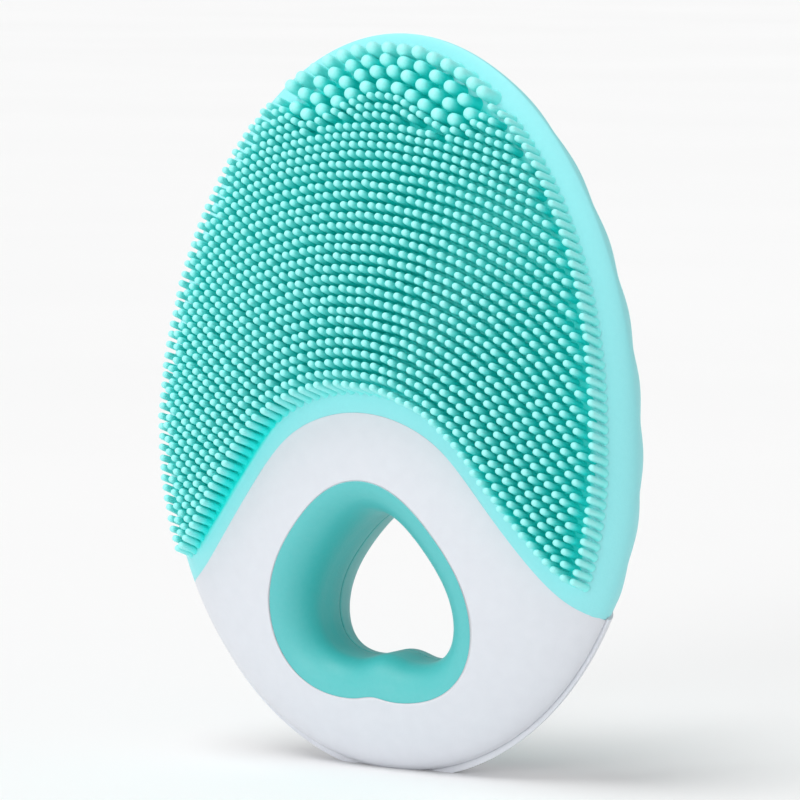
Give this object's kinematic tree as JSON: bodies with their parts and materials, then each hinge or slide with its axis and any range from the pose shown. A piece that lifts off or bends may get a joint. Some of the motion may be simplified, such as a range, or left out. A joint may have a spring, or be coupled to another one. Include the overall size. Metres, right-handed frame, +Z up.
{
  "type": "facial cleansing brush",
  "caption": "Egg-shaped silicone facial cleansing brush: short leaning bristles on the front, a flared finger hole through the lower end, ridged back with press buttons, vibration motor inside.",
  "frame": {"origin": "middle of the whole depth and width, at the flat foot of the body", "axes": "+Z up the long axis from the finger-hole end to the crown, -Y the way the bristles face, +X to the right of someone looking at the bristles"},
  "size_m": [0.08, 0.029, 0.108],
  "materials": {
    "aqua_silicone": "satin, slightly translucent aqua silicone",
    "white_abs": "satin white",
    "teal_silicone": "satin teal silicone",
    "seal_rubber": "matte black rubber",
    "button_plastic": "satin white",
    "clear_plastic": "frosted clear plastic",
    "led_plastic": "cream moulded LED",
    "circuit_board": "green solder mask",
    "switch_plastic": "black",
    "chip_plastic": "black epoxy",
    "screw_steel": "zinc plated",
    "grey_abs": "moulded grey",
    "motor_steel": "nickel plated",
    "shaft_steel": "ground steel",
    "weight_brass": "turned brass",
    "cell_foil": "laminate foil pouch",
    "foam_rubber": "soft foam",
    "coil_copper": "enamelled copper wire",
    "ferrite": "dark grey ferrite",
    "lead_red": "insulated wire",
    "lead_black": "insulated wire"
  },
  "bodies": {
    "body": {"silicone_cover": "aqua_silicone", "thin_bristles": "aqua_silicone", "thick_bristles": "aqua_silicone", "front_housing": "white_abs", "rear_housing": "white_abs", "housing_seal": "seal_rubber", "front_hole_liner": "teal_silicone", "rear_hole_liner": "teal_silicone", "light_pipe": "clear_plastic", "status_led": "led_plastic", "main_board": "circuit_board", "tact_switches": "switch_plastic", "board_chips": "chip_plastic", "board_screws": "screw_steel", "chassis": "grey_abs", "chassis_screws": "screw_steel", "housing_screws": "screw_steel", "motor_can": "motor_steel", "motor_boot": "seal_rubber", "battery_cell": "cell_foil", "battery_pad": "foam_rubber", "charging_coil": "coil_copper", "ferrite_sheet": "ferrite", "battery_leads": "lead_red", "motor_leads": "lead_black", "coil_leads": "lead_black"},
    "power_button_body": {"power_button": "button_plastic"},
    "plus_button_body": {"plus_button": "button_plastic"},
    "minus_button_body": {"minus_button": "button_plastic"},
    "rotor": {"motor_shaft": "shaft_steel", "eccentric_weight": "weight_brass"}
  },
  "joints": [
    {"name": "power_press", "type": "slide", "parent": "body", "child": "power_button_body", "axis": [0, -1, 0], "range_m": [0, 0.0005], "stiffness_N_per_m": 400, "springref_m": -0.001},
    {"name": "plus_press", "type": "slide", "parent": "body", "child": "plus_button_body", "axis": [0, -1, 0], "range_m": [0, 0.0005], "stiffness_N_per_m": 400, "springref_m": -0.001},
    {"name": "minus_press", "type": "slide", "parent": "body", "child": "minus_button_body", "axis": [0, -1, 0], "range_m": [0, 0.0005], "stiffness_N_per_m": 400, "springref_m": -0.001},
    {"name": "motor_spin", "type": "hinge", "parent": "body", "child": "rotor", "pos_m": [0, 0.00112, 0.064], "axis": [0, 0, 1], "continuous": true}
  ]
}
